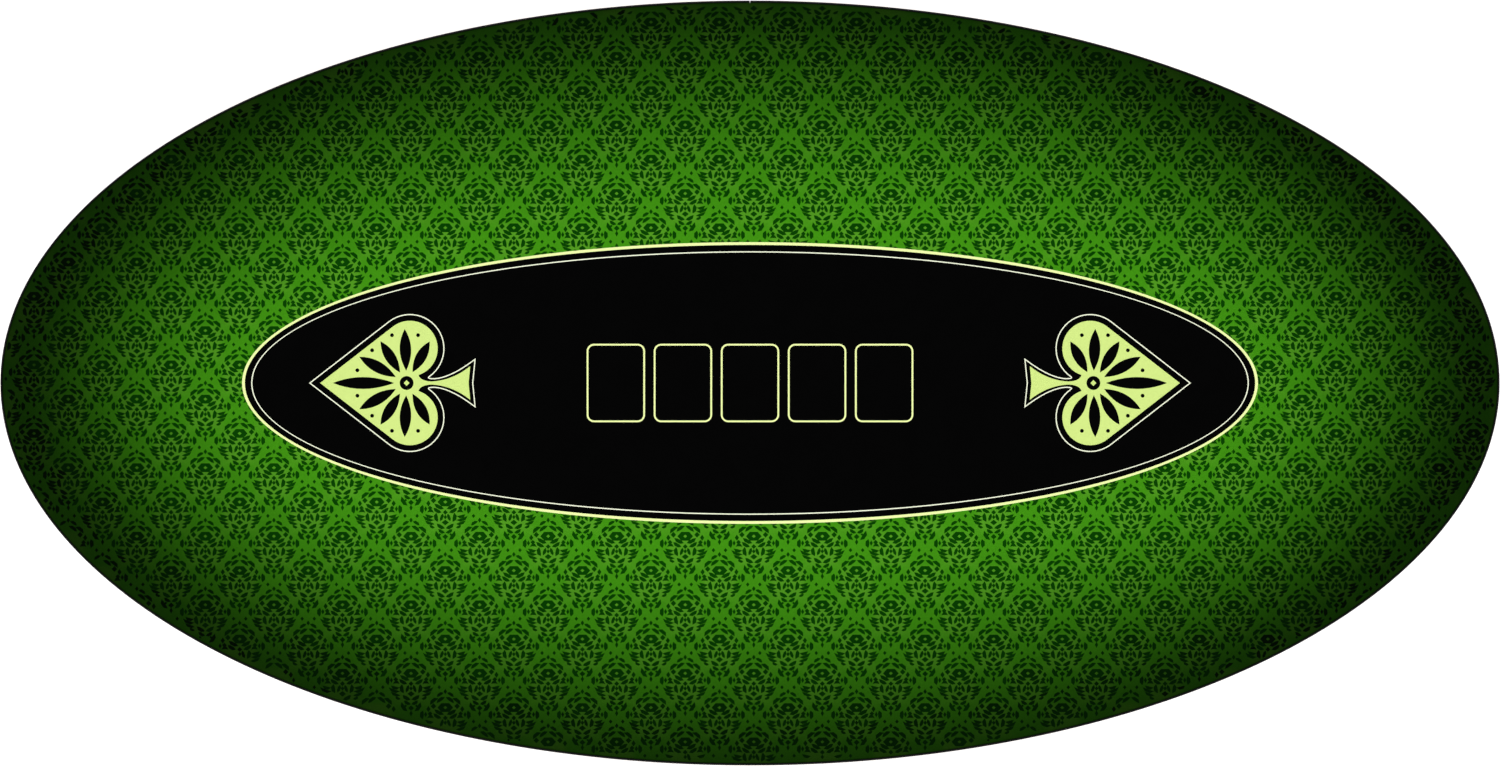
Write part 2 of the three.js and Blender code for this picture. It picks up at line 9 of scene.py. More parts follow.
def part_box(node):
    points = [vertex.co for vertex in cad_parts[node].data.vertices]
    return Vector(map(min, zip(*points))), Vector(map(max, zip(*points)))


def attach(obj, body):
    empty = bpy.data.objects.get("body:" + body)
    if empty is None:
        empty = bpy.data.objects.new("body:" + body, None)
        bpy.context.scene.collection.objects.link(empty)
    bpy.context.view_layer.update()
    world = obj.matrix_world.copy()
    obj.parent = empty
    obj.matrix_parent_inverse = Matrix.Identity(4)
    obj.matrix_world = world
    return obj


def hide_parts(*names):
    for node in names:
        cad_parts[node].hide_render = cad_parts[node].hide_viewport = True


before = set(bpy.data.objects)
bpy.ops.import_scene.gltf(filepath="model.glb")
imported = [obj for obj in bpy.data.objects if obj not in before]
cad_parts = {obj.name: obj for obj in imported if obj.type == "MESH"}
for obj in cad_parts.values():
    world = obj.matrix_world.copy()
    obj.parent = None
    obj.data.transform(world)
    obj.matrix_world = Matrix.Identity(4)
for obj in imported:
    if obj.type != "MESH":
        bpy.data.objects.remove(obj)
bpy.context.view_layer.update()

# An oval poker table with a padded printed cloth, on two folding leg frames.
# Lengths are in metres unless a name or comment says otherwise. +X is along the oval and +Z is up.

MM = 0.001


def centre_of(node):
    """The middle of a CAD node's box."""
    low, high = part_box(node)
    return (low + high) / 2


# ---- places taken from the frame ----
MOULDING_LOW, MOULDING_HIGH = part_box("edge_moulding")
CLOTH_LOW, CLOTH_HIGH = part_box("playing_cloth")
FOAM_LOW, FOAM_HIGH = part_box("foam_pad")
HALF_LENGTH = MOULDING_HIGH.x
HALF_WIDTH = MOULDING_HIGH.y
CLOTH_TOP = CLOTH_HIGH.z
CLOTH_INSET = HALF_LENGTH - CLOTH_HIGH.x
FOAM_INSET = HALF_LENGTH - FOAM_HIGH.x

# The leg frame at the +X end: its pivot and the directions down and out along its slope.
LEG_PIVOT = centre_of("pivot_tube_a")
LEG_RUN = (centre_of("crossbar_lower_a") - LEG_PIVOT).normalized()
LEG_DOWN = Vector((LEG_RUN.x, 0, LEG_RUN.z)).normalized()
LEG_OUT = Vector((-LEG_DOWN.z, 0, LEG_DOWN.x))

# ---- driving dimensions of the looks ----
OVAL_STEPS = 288
CENTRE_STEPS = 240
SHOULDER_WIDE = 12 * MM
SHOULDER_DROP = 3.5 * MM
SHOULDER_DEGREES = (10, 25, 40, 55, 70, 82)
SKIRT_BREAK = 0.5 * MM
HEM = 1.2 * MM
SAME_PLACE = 0.01 * MM
MERGE_DISTANCE = 0.002 * MM
CAD_MERGE_DISTANCE = 0.005 * MM
BEVEL, FINE_BEVEL = 0.4 * MM, 0.3 * MM
# Angles from which an edge stays crisp: on turned pieces, and on the moulding and bevelled nodes.
CREASE_DEGREES, EDGE_DEGREES = 35, 40
# A corner of a grown outline moves by at most the distance divided by this, however sharp it is.
SPIKE_LIMIT = 0.45

FOAM_COVER = 1.8 * MM
FOAM_MIDDLE_INSET = 0.3
FOAM_DEGREES = (0, 20, 40, 60, 75, 90)

CENTRE_A, CENTRE_B = 619.5 * MM, 171.8 * MM
BORDER_MM = 3.4
FINE_INSET_MM = 11.2
FINE_LINE_MM = 1.3
CARD_PITCH = 81.8 * MM
CARD_WIDE, CARD_TALL = 69.05 * MM, 93.5 * MM
CARD_CORNER = 8 * MM
CARD_LINE = 2.1 * MM
DAMASK_PERIOD = 83.6 * MM
DAMASK_X, DAMASK_Y = 4.6 * MM, 63.5 * MM
SPRIG_MARGIN = 1.5 * MM
# Parts of a sprig that lie wholly within this share of the black oval are covered and left out.
HIDDEN_SHARE = 0.99
SPRIG_CENTRE_DROP = 15 * MM
WEAVE_PERIOD = 0.9 * MM
SPADE_TIP_X = 536.8 * MM

LIP_RADIUS = 1.05 * MM
LIP_DEGREES = (30, 60, 90, 120, 150)
FACE_CROWN = 0.5 * MM
FACE_STEPS = 12
SEAM_GAP = 0.0001
# The moulding's barbed tongue: (inset, height about the groove's middle) in millimetres.
TONGUE_MM = [
    (2.6, -0.9), (6.9, -0.9), (6.9, -1.5), (10.9, -0.9), (10.9, -1.5), (14.9, -0.9), (16.5, 0),
    (14.9, 0.9), (10.9, 1.5), (10.9, 0.9), (6.9, 1.5), (6.9, 0.9), (2.6, 0.9),
]

LEG_RADIUS = 16 * MM
CROSSBAR_RADIUS = 10 * MM
PIVOT_RADIUS = 12.5 * MM
# How far the middle of a bead lies outside the tubes that it joins.
WELD_GAP, CROSSBAR_WELD_GAP = 0.5 * MM, 0.6 * MM
PIVOT_WELD_DEGREES = 78
CROSSBAR_WELD_STEPS, PIVOT_WELD_STEPS = 60, 40
CROSSBAR_BEAD = 1.7 * MM
PIVOT_BEAD = 1.6 * MM
BEAD_STEPS = 8
BEAD_RIPPLE = 0.12
BEAD_RIPPLE_POINTS = 3
# An open bead starts with the first share of its radius and gains the second at every point.
BEAD_END, BEAD_END_GROWTH = 0.25, 0.5
BEAD_ASIDE = Vector((0.31, 0.17, 0.94))

FOOT_STEPS = 48
FOOT_BORE_MM = 16.3
RIB_TOPS_MM = (33.5, 28.0, 22.5, 17.0)
RIB_DEEP_MM = 0.8

SCREW_STEPS = 24
SCREW_HEAD_MM = 2.6
SCREW_CAP_MM = 2.9
RECESS_ARM_MM, RECESS_REACH_MM = 0.62, 1.9
RECESS_DEEP_MM = 1.5
RECESS_TAPER = 0.55
THREADS = 9
THREAD_PITCH_MM = 1.3
THREAD_ROOT_MM, THREAD_CREST_MM = 1.5, 2.0
SCREW_POINT_MM = 0.4

FLOOR_HALF = 120
FLOOR_GLOW = 0.42
LIGHT_TARGET = (0, 0, 0.5)
KEY_PLACE, KEY_SIZE, KEY_WATTS = (-1.0, -1.6, 4.2), 2.2, 60
FILL_PLACE, FILL_SIZE, FILL_WATTS = (1.6, 1.4, 4.0), 2.6, 38
LENS, SENSOR = 200.0, 36.0
CAMERA_DROP = 2 * MM

# The printed shading is full inside an oval and fades over a band of distances from it.
FADE_A, FADE_B = 852.9 * MM, 450.5 * MM
FADE_START, FADE_END = -282 * MM, 44 * MM
FADE_LOW = 0.075

GREEN = (0.046, 0.249, 0.0055)
GREEN_UNDER_SPRIG = (0.072, 0.275, 0.013)
SPRIG_GREEN = (0.0024, 0.047, 0.0004)

# Inks, in the order of the cloth's material slots. Darker shades of the sprigs come last.
GROUND, BLACK, CREAM, FINE, LIME, DAMASK = range(6)
SHADES = 10


# ---- plane curves ----
def ellipse(a, b, steps, centre=(0, 0)):
    points = []
    for step in range(steps):
        angle = math.tau * step / steps
        points.append((centre[0] + a * math.cos(angle), centre[1] + b * math.sin(angle)))
    return points


def arc(centre, radius, start, end, steps):
    """Points of an arc between two angles in degrees, both ends included."""
    points = []
    for step in range(steps + 1):
        angle = math.radians(start + (end - start) * step / steps)
        points.append((centre[0] + radius * math.cos(angle), centre[1] + radius * math.sin(angle)))
    return points


def bezier(start, control, end, steps):
    """Points of a curve that leaves one end towards a control point and meets the other."""
    points = []
    for step in range(steps + 1):
        t = step / steps
        x = (1 - t) ** 2 * start[0] + 2 * t * (1 - t) * control[0] + t * t * end[0]
        y = (1 - t) ** 2 * start[1] + 2 * t * (1 - t) * control[1] + t * t * end[1]
        points.append((x, y))
    return points


def grown(outline, distance):
    """A counter-clockwise outline moved outwards along its corners' bisectors."""
    moved = []
    count = len(outline)
    for i, point in enumerate(outline):
        here = Vector(point)
        into = (here - Vector(outline[i - 1])).normalized()
        out = (Vector(outline[(i + 1) % count]) - here).normalized()
        normal = Vector((into.y + out.y, -into.x - out.x)).normalized()
        stretch = max(normal.dot(Vector((into.y, -into.x))), SPIKE_LIMIT)
        moved.append(tuple(here + normal * distance / stretch))
    return moved


def counter_clockwise(outline):
    twice_area = sum(a[0] * b[1] - b[0] * a[1] for a, b in zip(outline, [*outline[1:], outline[0]]))
    return outline if twice_area > 0 else outline[::-1]


def oval_point(angle, inset):
    """A point of the table's outline, moved inwards along its normal."""
    normal = Vector((math.cos(angle) / HALF_LENGTH, math.sin(angle) / HALF_WIDTH)).normalized()
    return (
        HALF_LENGTH * math.cos(angle) - normal.x * inset,
        HALF_WIDTH * math.sin(angle) - normal.y * inset,
    )


def oval(inset):
    """The table's outline, moved inwards."""
    return [oval_point(math.tau * step / OVAL_STEPS, inset) for step in range(OVAL_STEPS)]


def inset_of(x, y):
    """How far a point near the rim lies inside the table's outline."""
    share = math.hypot(x / HALF_LENGTH, y / HALF_WIDTH)
    slope = math.hypot(x / HALF_LENGTH ** 2, y / HALF_WIDTH ** 2) / max(share, 1e-6)
    return (1 - share) / max(slope, 1e-6)


# ---- the printed design ----
class Print:
    """Inked outlines in the plane. A later outline covers an earlier one."""

    def __init__(self):
        self.points = []
        self.faces = []
        self.inks = []
        self.edges = []

    def add(self, ink, outline):
        outline = counter_clockwise(outline)
        first = len(self.points)
        self.points.extend(Vector(point) for point in outline)
        self.faces.append(list(range(first, first + len(outline))))
        self.inks.append(ink)

    def crease(self, outline):
        """A closed line of edges with no ink, where the surface will bend."""
        first = len(self.points)
        count = len(outline)
        self.points.extend(Vector(point) for point in outline)
        self.edges.extend((first + i, first + (i + 1) % count) for i in range(count))

    def triangles(self):
        """(points, triangles, ink of each triangle), cut along every outline."""
        points, _, triangles, _, _, sources = delaunay_2d_cdt(
            self.points, self.edges, self.faces, 1, 1e-7, True
        )
        inks = [self.inks[max(source)] if source else GROUND for source in sources]
        return points, triangles, inks


def leaf(start, end, bulge, width):
    """A crescent between two tips, bulging to the left of its run."""
    run_x, run_y = end[0] - start[0], end[1] - start[1]
    length = math.hypot(run_x, run_y)
    side_x, side_y = -run_y / length, run_x / length
    points = []
    for share, away in (
        (0, 0), (0.28, bulge - width / 2), (0.72, bulge - width / 2),
        (1, 0), (0.72, bulge + width / 2), (0.28, bulge + width / 2),
    ):
        points.append((
            start[0] + run_x * share + side_x * away,
            start[1] + run_y * share + side_y * away,
        ))
    return points


def diamond(a, b, centre):
    return ellipse(a, b, 4, centre)


def damask_motif():
    """One damask sprig in millimetres about its eye, as (ink, outline) pairs."""
    leaves = [
        ((2.0, 18.6), (10.4, 13.4), 0.8, 3.6),
        ((8.6, 11.8), (18.6, 3.6), 1.6, 4.2),
        ((0.4, 13.0), (10.6, 5.8), 1.0, 4.0),
        ((13.4, -1.8), (1.6, -8.0), 0.8, 4.4),
        ((14.6, -6.6), (4.6, -12.6), 0.8, 4.2),
        ((11.0, -12.6), (9.0, -24.0), 1.4, 4.6),
        ((13.8, -12.6), (22.2, -12.4), 2.2, 3.4),
        ((27.4, -3.0), (27.8, -14.0), 1.0, 4.6),
        ((24.6, -14.6), (14.0, -17.0), 1.6, 3.6),
        ((27.4, -16.4), (13.2, -21.6), 2.0, 3.6),
        ((24.8, -22.2), (12.8, -26.6), 1.2, 3.4),
        ((19.4, -28.0), (12.8, -31.0), 0.6, 3.0),
        ((10.4, -26.0), (0.4, -31.8), 1.0, 4.4),
        ((8.6, -32.6), (0.4, -37.4), 0.8, 3.8),
        ((11.6, -34.6), (4.2, -46.0), 1.6, 4.4),
        ((2.8, -13.6), (6.2, -23.0), -0.2, 3.6),
    ]
    dots = [
        ((14.4, 2.2), 3.4, 3.6), ((20.6, -1.4), 2.6, 3.8), ((18.6, -7.0), 3.0, 3.0),
        ((24.0, -8.0), 1.9, 3.4), ((7.4, 25.2), 2.2, 2.6), ((6.6, -39.2), 1.7, 1.7),
    ]
    lone = [
        ((0, 20.0), 2.2, 3.2), ((0, -12.2), 3.0, 3.0), ((0, -18.0), 2.2, 2.8), ((0, -24.6), 4.4, 3.4),
        ((0, -42.0), 3.6, 3.4), ((0, -48.4), 2.0, 3.8),
    ]
    eye = (0, 0.4)
    shapes = []
    for side in (1, -1):
        for start, end, bulge, width in leaves:
            ends = [(side * x, y) for x, y in (start, end)]
            shapes.append((DAMASK, leaf(*ends, side * bulge, side * width)))
        for (x, y), a, b in dots:
            shapes.append((DAMASK, diamond(a, b, (side * x, y))))
    for centre, a, b in lone:
        shapes.append((DAMASK, diamond(a, b, centre)))
    shapes.append((DAMASK, ellipse(9.6, 6.2, 6, eye)))
    shapes.append((GROUND, diamond(2.4, 2.0, eye)))
    return shapes


def printed_fade(x, y):
    """The printed shading at a point, as the cloth's ground material paints it."""
    share = math.hypot(x / FADE_A, y / FADE_B)
    slope = math.hypot(x / FADE_A ** 2, y / FADE_B ** 2) / max(share, 1e-6)
    distance = (share - 1) / max(slope, 1e-6)
    t = min(max((distance - FADE_START) / (FADE_END - FADE_START), 0), 1)
    return 1 - (1 - FADE_LOW) * t * t * (3 - 2 * t)


def shade_level(fade):
    """Which darker shade of sprig ink stands for this much printed light."""
    return min(int((1 - fade) * SHADES), SHADES - 1)


def print_damask(design):
    """The sprigs in a half-drop repeat, all over the cloth outside the black oval."""
    motif = damask_motif()
    half = DAMASK_PERIOD / 2
    reach = HALF_LENGTH + DAMASK_PERIOD
    columns = int(reach / half)
    rows = int(reach / half)
    edge = CLOTH_INSET + SPRIG_MARGIN
    for column in range(-columns, columns + 1):
        for row in range(-rows, rows + 1):
            if (column + row) % 2:
                continue
            x, y = DAMASK_X + column * half, DAMASK_Y + row * half
            if math.hypot(x / (HALF_LENGTH + half), y / (HALF_WIDTH + half)) > 1:
                continue
            for ink, outline in motif:
                placed = [(x + u * MM, y + v * MM) for u, v in outline]
                if ink == DAMASK:
                    ink += shade_level(printed_fade(*placed[0]))
                hidden = all(math.hypot(u / CENTRE_A, v / CENTRE_B) < HIDDEN_SHARE for u, v in placed)
                if not hidden and all(inset_of(u, v) > edge for u, v in placed):
                    design.add(ink, placed)


def print_oval(design):
    """The black oval with its cream border and its fine inner line."""
    rings = ((CREAM, 0), (BLACK, BORDER_MM), (FINE, FINE_INSET_MM), (BLACK, FINE_INSET_MM + FINE_LINE_MM))
    for ink, inset in rings:
        design.add(ink, ellipse(CENTRE_A - inset * MM, CENTRE_B - inset * MM, CENTRE_STEPS))


def rounded_box(width, height, radius, centre):
    """The outline of a box with round corners."""
    points = []
    for quarter, (sx, sy) in enumerate(((1, 1), (-1, 1), (-1, -1), (1, -1))):
        middle = (centre[0] + sx * (width / 2 - radius), centre[1] + sy * (height / 2 - radius))
        points += arc(middle, radius, quarter * 90, quarter * 90 + 90, 7)
    return points


def print_cards(design):
    """Five card boxes in a row, each a cream line with rounded corners."""
    for place in range(-2, 3):
        centre = (place * CARD_PITCH, 0)
        for ink, grow in ((CREAM, CARD_LINE / 2), (BLACK, -CARD_LINE / 2)):
            size = (CARD_WIDE + 2 * grow, CARD_TALL + 2 * grow)
            design.add(ink, rounded_box(*size, CARD_CORNER + grow, centre))


# A plain suit symbol in millimetres, tip at the origin and stem towards +X.
LOBE = (122.0, 42.0)
LOBE_RADIUS = 41.5
BODY_RADIUS = 33.9
BODY_TIP = 12.6
FAN_ROOT = (118.0, 0.0)
FAN_START = 15.0
ROOT_DISC, ROOT_DIAMOND = 8.5, 3.6
TIP_PETAL = (0, 90, 14.5)
# (degrees from the tip's direction, reach, width) of the fan's leaves on each side.
SIDE_PETALS = ((29, 66, 13.5), (58, 60, 13.0), (88, 66, 14.0), (119, 58, 13.0))
FAN_DOTS = ((14.5, 62), (43.5, 58), (73, 61), (103.5, 60))
DOT_RADIUS = 2.4


def spade_outline():
    """The outline of the whole symbol, counter-clockwise."""
    reach = math.hypot(*LOBE)
    slope = math.degrees(math.atan2(LOBE[1], LOBE[0]) + math.asin(LOBE_RADIUS / reach))
    upper = [(0.0, 0.0)]
    upper += arc(LOBE, LOBE_RADIUS, slope + 90, -55, 26)
    upper += bezier(upper[-1], (141.8, 5.2), (152.0, 5.2), 8)[1:]
    upper += bezier(upper[-1], (172.0, 6.4), (201.5, 29.0), 9)[1:]
    lower = [(x, -y) for x, y in upper[1:]]
    return [upper[0], *lower, (198.6, 0.0), *upper[:0:-1]]


def spade_body():
    """The filled spade, blade and stem in one, inside the outline."""
    upper = arc(LOBE, BODY_RADIUS, 127, -72, 32)
    upper += bezier(upper[-1], (134.5, 2.6), (148.0, 1.8), 8)[1:]
    upper += bezier(upper[-1], (174.0, 3.0), (195.6, 20.6), 9)[1:]
    lower = [(x, -y) for x, y in upper]
    return [(BODY_TIP, 0.0), *lower, (193.6, 0.0), *upper[::-1]]


def fan_point(angle, reach):
    """A place in the fan, by its angle in degrees from the tip's direction and its distance."""
    angle = math.radians(180 - angle)
    return Vector(FAN_ROOT) + Vector((math.cos(angle), math.sin(angle))) * reach


def petal(angle, reach, width):
    """A pointed leaf of the fan."""
    start, end = fan_point(angle, FAN_START), fan_point(angle, reach)
    run = (end - start).normalized()
    side = Vector((-run.y, run.x)) * width
    middle = start.lerp(end, 0.52)
    return bezier(start, middle + side, end, 10)[:-1] + bezier(end, middle - side, start, 10)[:-1]


def spade_shapes():
    """The symbol's inks from back to front: an outline, a filled spade and a fan of cut-out leaves."""
    outline = spade_outline()
    shapes = [
        (FINE, grown(outline, FINE_LINE_MM / 2)),
        (BLACK, grown(outline, -FINE_LINE_MM / 2)),
        (LIME, spade_body()),
        (BLACK, petal(*TIP_PETAL)),
        (BLACK, ellipse(ROOT_DISC, ROOT_DISC, 24, FAN_ROOT)),
        (LIME, diamond(ROOT_DIAMOND, ROOT_DIAMOND, FAN_ROOT)),
    ]
    for side in (1, -1):
        for angle, reach, width in SIDE_PETALS:
            shapes.append((BLACK, petal(side * angle, reach, width)))
        for angle, reach in FAN_DOTS:
            shapes.append((BLACK, ellipse(DOT_RADIUS, DOT_RADIUS, 12, fan_point(side * angle, reach))))
    return shapes


def print_spades(design):
    """Two spades on the long axis, with their tips outwards."""
    for side in (1, -1):
        for ink, outline in spade_shapes():
            placed = [(side * (u * MM - SPADE_TIP_X), v * MM) for u, v in outline]
            design.add(ink, placed)


# ---- mesh helpers ----
def new_object(name, points, faces, materials, smooth=True):
    mesh = bpy.data.meshes.new(name)
    mesh.from_pydata([tuple(point) for point in points], [], faces)
    for material in materials:
        mesh.materials.append(material)
    mesh.update()
    if smooth:
        mesh.shade_smooth()
    thing = bpy.data.objects.new(name, mesh)
    bpy.context.scene.collection.objects.link(thing)
    return thing


def ring_faces(rings, steps):
    """Quads between rings of points. A ring is given by the number of its first point."""
    faces = []
    for upper, lower in zip(rings, rings[1:]):
        for step in range(steps):
            after = (step + 1) % steps
            faces.append((upper + step, lower + step, lower + after, upper + after))
    return faces


# ---- the cloth ----
def rim_height(inset):
    """Height of the cloth at a distance inside its own edge: flat, then rolled over the foam."""
    past_edge = inset - CLOTH_INSET
    share = 1 if past_edge < SAME_PLACE else max(1 - past_edge / SHOULDER_WIDE, 0)
    return CLOTH_TOP - SHOULDER_DROP * (1 - math.sqrt(1 - share * share))


def print_design():
    """The whole print, with creases where the cloth rolls over the foam's edge."""
    design = Print()
    design.add(GROUND, oval(CLOTH_INSET))
    for degrees in SHOULDER_DEGREES:
        design.crease(oval(CLOTH_INSET + SHOULDER_WIDE * (1 - math.sin(math.radians(degrees)))))
    print_damask(design)
    print_oval(design)
    print_cards(design)
    print_spades(design)
    return design


def make_cloth(materials):
    """One sheet: the print, its rolled shoulder, a short skirt and a hem turned under."""
    flat, faces, inks = print_design().triangles()
    points = [(p.x, p.y, rim_height(inset_of(p.x, p.y))) for p in flat]
    edge = rim_height(CLOTH_INSET)
    skirt = [
        (CLOTH_INSET, edge), (CLOTH_INSET, edge - SKIRT_BREAK), (CLOTH_INSET, CLOTH_LOW.z),
        (CLOTH_INSET + HEM, CLOTH_LOW.z),
    ]
    rings = []
    for inset, height in skirt:
        rings.append(len(points))
        points += [(x, y, height) for x, y in oval(inset)]
    faces = [tuple(face) for face in faces] + ring_faces(rings, OVAL_STEPS)
    cloth = new_object("printed_cloth", points, faces, materials)
    inks = inks + [GROUND] * (len(faces) - len(inks))
    cloth.data.polygons.foreach_set("material_index", inks)
    return cloth


def joined_edges(thing):
    """Merges the points that two parts of one piece share."""
    mesh = bmesh.new()
    mesh.from_mesh(thing.data)
    bmesh.ops.remove_doubles(mesh, verts=mesh.verts, dist=MERGE_DISTANCE)
    mesh.to_mesh(thing.data)
    mesh.free()
    return thing


def make_foam():
    """The pad under the cloth, with its own rolled edge."""
    rings, points = [], []
    top = CLOTH_TOP - FOAM_COVER
    profile = [(FOAM_MIDDLE_INSET, 0.0)]
    for degrees in FOAM_DEGREES:
        share = math.sin(math.radians(degrees))
        drop = SHOULDER_DROP * (1 - math.cos(math.radians(degrees)))
        profile.append((FOAM_INSET + SHOULDER_WIDE * (1 - share), drop))
    for inset, drop in profile:
        rings.append(len(points))
        points += [(x, y, top - drop) for x, y in oval(inset)]
    rings.append(len(points))
    points += [(x, y, FOAM_LOW.z) for x, y in oval(FOAM_INSET)]
    faces = [tuple(range(OVAL_STEPS))] + ring_faces(rings, OVAL_STEPS)
    faces.append(tuple(rings[-1] + step for step in reversed(range(OVAL_STEPS))))
    return new_object("foam_sheet", points, faces, [foam_material()])


def strip_point(step, inset):
    """A point of the moulding's run round the rim, which starts and ends at its butt seam."""
    share = SEAM_GAP / 2 + (1 - SEAM_GAP) * step / OVAL_STEPS
    return oval_point(math.radians(90) + math.tau * share, inset)


def moulding_profile():
    """(inset, height) pairs: the crowned face, its soft lips and the barbed tongue."""
    low, high = MOULDING_LOW.z, MOULDING_HIGH.z
    middle = (low + high) / 2
    reach = (high - low) / 2 - LIP_RADIUS
    face = []
    for step in range(FACE_STEPS + 1):
        across = 1 - 2 * step / FACE_STEPS
        face.append((FACE_CROWN * across * across, middle + across * reach))
    lip = []
    for degrees in LIP_DEGREES:
        angle = math.radians(degrees)
        lip.append((FACE_CROWN + LIP_RADIUS * (1 - math.cos(angle)), LIP_RADIUS * math.sin(angle)))
    upper = [(inset, high - LIP_RADIUS + rise) for inset, rise in lip]
    lower = [(inset, low + LIP_RADIUS - rise) for inset, rise in lip]
    panel_low, panel_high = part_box("top_panel")
    groove = (panel_low.z + panel_high.z) / 2
    tongue = [(inset * MM, groove + height * MM) for inset, height in TONGUE_MM]
    return upper[::-1] + face + lower + tongue


def make_moulding():
    """The T-moulding: one strip bent round the oval, with its ends butted at the back."""
    profile = moulding_profile()
    count = len(profile)
    points = []
    for step in range(OVAL_STEPS + 1):
        points += [(*strip_point(step, inset), height) for inset, height in profile]
    faces = [tuple(reversed(range(count))), tuple(OVAL_STEPS * count + i for i in range(count))]
    for step in range(OVAL_STEPS):
        for i in range(count):
            after = (i + 1) % count
            here, there = step * count, (step + 1) * count
            faces.append((here + after, there + after, there + i, here + i))
    moulding = new_object("t_moulding", points, faces, [vinyl_material()])
    moulding.data.set_sharp_from_angle(angle=math.radians(EDGE_DEGREES))
    return moulding


# ---- materials ----
class Graph:
    """A material's nodes, with short calls for the few kinds that the table needs."""

    def __init__(self, name):
        self.material = bpy.data.materials.new(name)
        self.material.use_nodes = True
        self.nodes = self.material.node_tree.nodes
        self.links = self.material.node_tree.links
        self.shader = self.nodes["Principled BSDF"]
        coordinates = self.nodes.new("ShaderNodeTexCoord")
        self.position = coordinates.outputs["Object"]

    def put(self, socket, value):
        if isinstance(value, bpy.types.NodeSocket):
            self.links.new(value, socket)
        elif socket.type == "RGBA" and len(value) == 3:
            socket.default_value = (*value, 1)
        else:
            socket.default_value = value

    def math(self, operation, *values):
        node = self.nodes.new("ShaderNodeMath")
        node.operation = operation
        for socket, value in zip(node.inputs, values):
            self.put(socket, value)
        return node.outputs[0]

    def axes(self):
        node = self.nodes.new("ShaderNodeSeparateXYZ")
        self.put(node.inputs[0], self.position)
        return node.outputs

    def length(self, x, y):
        squares = (self.math("MULTIPLY", x, x), self.math("MULTIPLY", y, y))
        return self.math("SQRT", self.math("ADD", *squares))

    def scaled(self, scale):
        node = self.nodes.new("ShaderNodeMapping")
        self.put(node.inputs["Vector"], self.position)
        node.inputs["Scale"].default_value = scale
        return node.outputs[0]

    def noise(self, scale, detail=2.0, roughness=0.5, vector=None):
        node = self.nodes.new("ShaderNodeTexNoise")
        self.put(node.inputs["Vector"], vector or self.position)
        node.inputs["Scale"].default_value = scale
        node.inputs["Detail"].default_value = detail
        node.inputs["Roughness"].default_value = roughness
        return node.outputs["Fac"]

    def ramp(self, value, low, high, to_low, to_high, smooth=False):
        node = self.nodes.new("ShaderNodeMapRange")
        node.interpolation_type = "SMOOTHSTEP" if smooth else "LINEAR"
        for socket, number in zip(node.inputs, (value, low, high, to_low, to_high)):
            self.put(socket, number)
        return node.outputs[0]

    def mix(self, share, first, second, blend="MIX"):
        node = self.nodes.new("ShaderNodeMix")
        node.data_type = "RGBA"
        node.blend_type = blend
        for name, value in (("Factor", share), ("A", first), ("B", second)):
            socket = next(s for s in node.inputs if s.name == name and s.enabled)
            self.put(socket, value)
        return next(s for s in node.outputs if s.enabled)

    def grey(self, value):
        node = self.nodes.new("ShaderNodeCombineColor")
        for socket in node.inputs:
            self.put(socket, value)
        return node.outputs[0]

    def bump(self, height, distance, strength=1.0):
        node = self.nodes.new("ShaderNodeBump")
        node.inputs["Strength"].default_value = strength
        node.inputs["Distance"].default_value = distance
        self.put(node.inputs["Height"], height)
        self.put(self.shader.inputs["Normal"], node.outputs[0])

    def set(self, **values):
        for name, value in values.items():
            self.put(self.shader.inputs[name.replace("_", " ")], value)
        return self.material


def weave(graph):
    """Height of a fine plain weave, from 0 to 1."""
    x, y, _ = graph.axes()
    threads = math.tau / WEAVE_PERIOD
    across = graph.math("SINE", graph.math("MULTIPLY", x, threads))
    along = graph.math("SINE", graph.math("MULTIPLY", y, threads))
    return graph.ramp(graph.math("MULTIPLY", across, along), -1.0, 1.0, 0.0, 1.0)


def falloff(graph):
    """The printed shading, worked out as printed_fade does."""
    x, y, _ = graph.axes()
    share = graph.length(graph.math("DIVIDE", x, FADE_A), graph.math("DIVIDE", y, FADE_B))
    slope = graph.length(graph.math("DIVIDE", x, FADE_A ** 2), graph.math("DIVIDE", y, FADE_B ** 2))
    past = graph.math("SUBTRACT", share, 1.0)
    distance = graph.math("MULTIPLY", past, graph.math("DIVIDE", share, slope))
    return graph.ramp(distance, FADE_START, FADE_END, 1.0, FADE_LOW, smooth=True)


def sprig_ground(graph):
    """1 under each damask sprig and 0 in the open lattice between them."""
    x, y, _ = graph.axes()
    turn = math.tau / DAMASK_PERIOD
    across = graph.math("COSINE", graph.math("MULTIPLY", graph.math("SUBTRACT", x, DAMASK_X), turn))
    middle = DAMASK_Y - SPRIG_CENTRE_DROP
    along = graph.math("COSINE", graph.math("MULTIPLY", graph.math("SUBTRACT", y, middle), turn))
    return graph.ramp(graph.math("MULTIPLY", across, along), -0.25, 0.35, 0.0, 1.0, smooth=True)


def cloth_material(name, colour):
    """One plain ink on the cloth: its weave, its nap and its dull surface."""
    graph = Graph(name)
    height = weave(graph)
    nap = graph.noise(260, 3)
    graph.bump(graph.math("ADD", height, graph.math("MULTIPLY", nap, 0.8)), 0.22 * MM)
    graph.put(graph.shader.inputs["Base Color"], colour)
    graph.put(graph.shader.inputs["Roughness"], graph.ramp(graph.noise(35, 3), 0.3, 0.7, 0.85, 0.97))
    graph.shader.inputs["Specular IOR Level"].default_value = 0.02
    return graph


